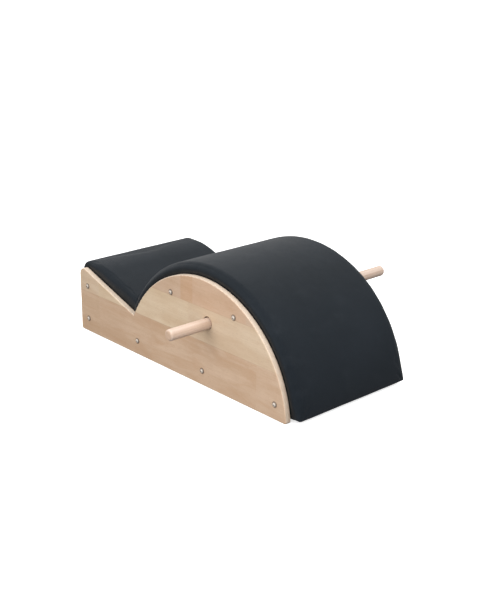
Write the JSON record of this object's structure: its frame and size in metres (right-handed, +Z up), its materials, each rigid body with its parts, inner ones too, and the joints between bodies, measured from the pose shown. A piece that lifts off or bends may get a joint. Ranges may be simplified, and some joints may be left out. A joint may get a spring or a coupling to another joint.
{
  "type": "spine corrector",
  "caption": "Pilates spine corrector: an upholstered barrel arch and a sloped padded step between wooden side panels, with a loose round cross dowel as a handle.",
  "frame": {"origin": "on the floor, in the middle of the footprint of the two side panels", "axes": "+X along the length, from the step's tall end to the barrel's foot; +Y across; +Z up"},
  "size_m": [0.9566, 0.843, 0.3412],
  "materials": {
    "panel_wood": "edge-glued hardwood strips under clear satin lacquer",
    "dowel_wood": "turned and sanded hardwood under clear lacquer",
    "rail_wood": "planed, unlacquered",
    "plywood": "birch plywood",
    "vinyl": "satin charcoal upholstery vinyl with a fine grain",
    "foam": "dense closed foam",
    "steel": "zinc-plated steel"
  },
  "bodies": {
    "frame": {"arch_rail_front": "rail_wood", "arch_rail_rear": "rail_wood", "barrel_cover": "vinyl", "barrel_cover_staples": "steel", "barrel_deck": "plywood", "barrel_deck_bolts": "steel", "barrel_foam": "foam", "barrel_tee_nuts": "steel", "base_rail_front": "rail_wood", "base_rail_middle": "rail_wood", "base_rail_rear": "rail_wood", "left_barrel_nuts": "steel", "left_locating_pins": "rail_wood", "left_panel_bolts": "steel", "rear_board": "plywood", "right_barrel_nuts": "steel", "right_locating_pins": "rail_wood", "right_panel_bolts": "steel", "side_panel_left": "panel_wood", "side_panel_right": "panel_wood", "step_cleat_left": "rail_wood", "step_cleat_right": "rail_wood", "step_cover": "vinyl", "step_cover_staples": "steel", "step_deck": "plywood", "step_deck_bolts": "steel", "step_foam": "foam", "step_tee_nuts": "steel"},
    "dowel": {"dowel": "dowel_wood"}
  },
  "joints": [
    {"name": "dowel_slide", "type": "slide", "parent": "frame", "child": "dowel", "axis": [0, 1, 0], "range_m": [-0.74, 0.62]}
  ]
}
